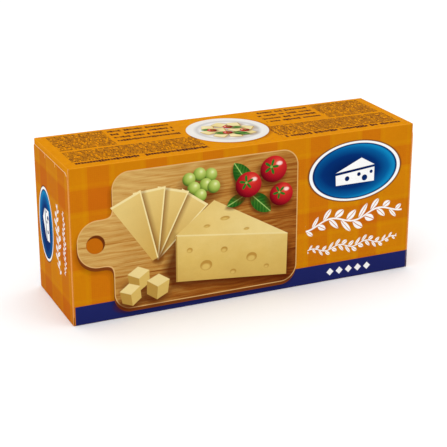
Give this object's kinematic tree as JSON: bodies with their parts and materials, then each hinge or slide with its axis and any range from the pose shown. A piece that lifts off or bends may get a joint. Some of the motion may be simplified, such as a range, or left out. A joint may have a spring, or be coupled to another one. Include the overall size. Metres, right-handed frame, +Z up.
{
  "type": "shut folding carton for processed cheese",
  "caption": "Long shut folding carton of printed cardboard for a block of processed cheese, with rounded folds and an outer flap glued over each end.",
  "frame": {"origin": "the middle of the footprint, on the surface that the carton stands on", "axes": "+X along the carton's length, to the right as one looks at the front panel; +Y from the front panel to the back panel; +Z up"},
  "size_m": [0.191, 0.056, 0.082],
  "materials": {
    "printed_board": "satin varnished print in orange with a woven check, a dark blue band, and pale raw board at the cut edges"
  },
  "bodies": {
    "root": {"carton": "printed_board"}
  },
  "joints": []
}
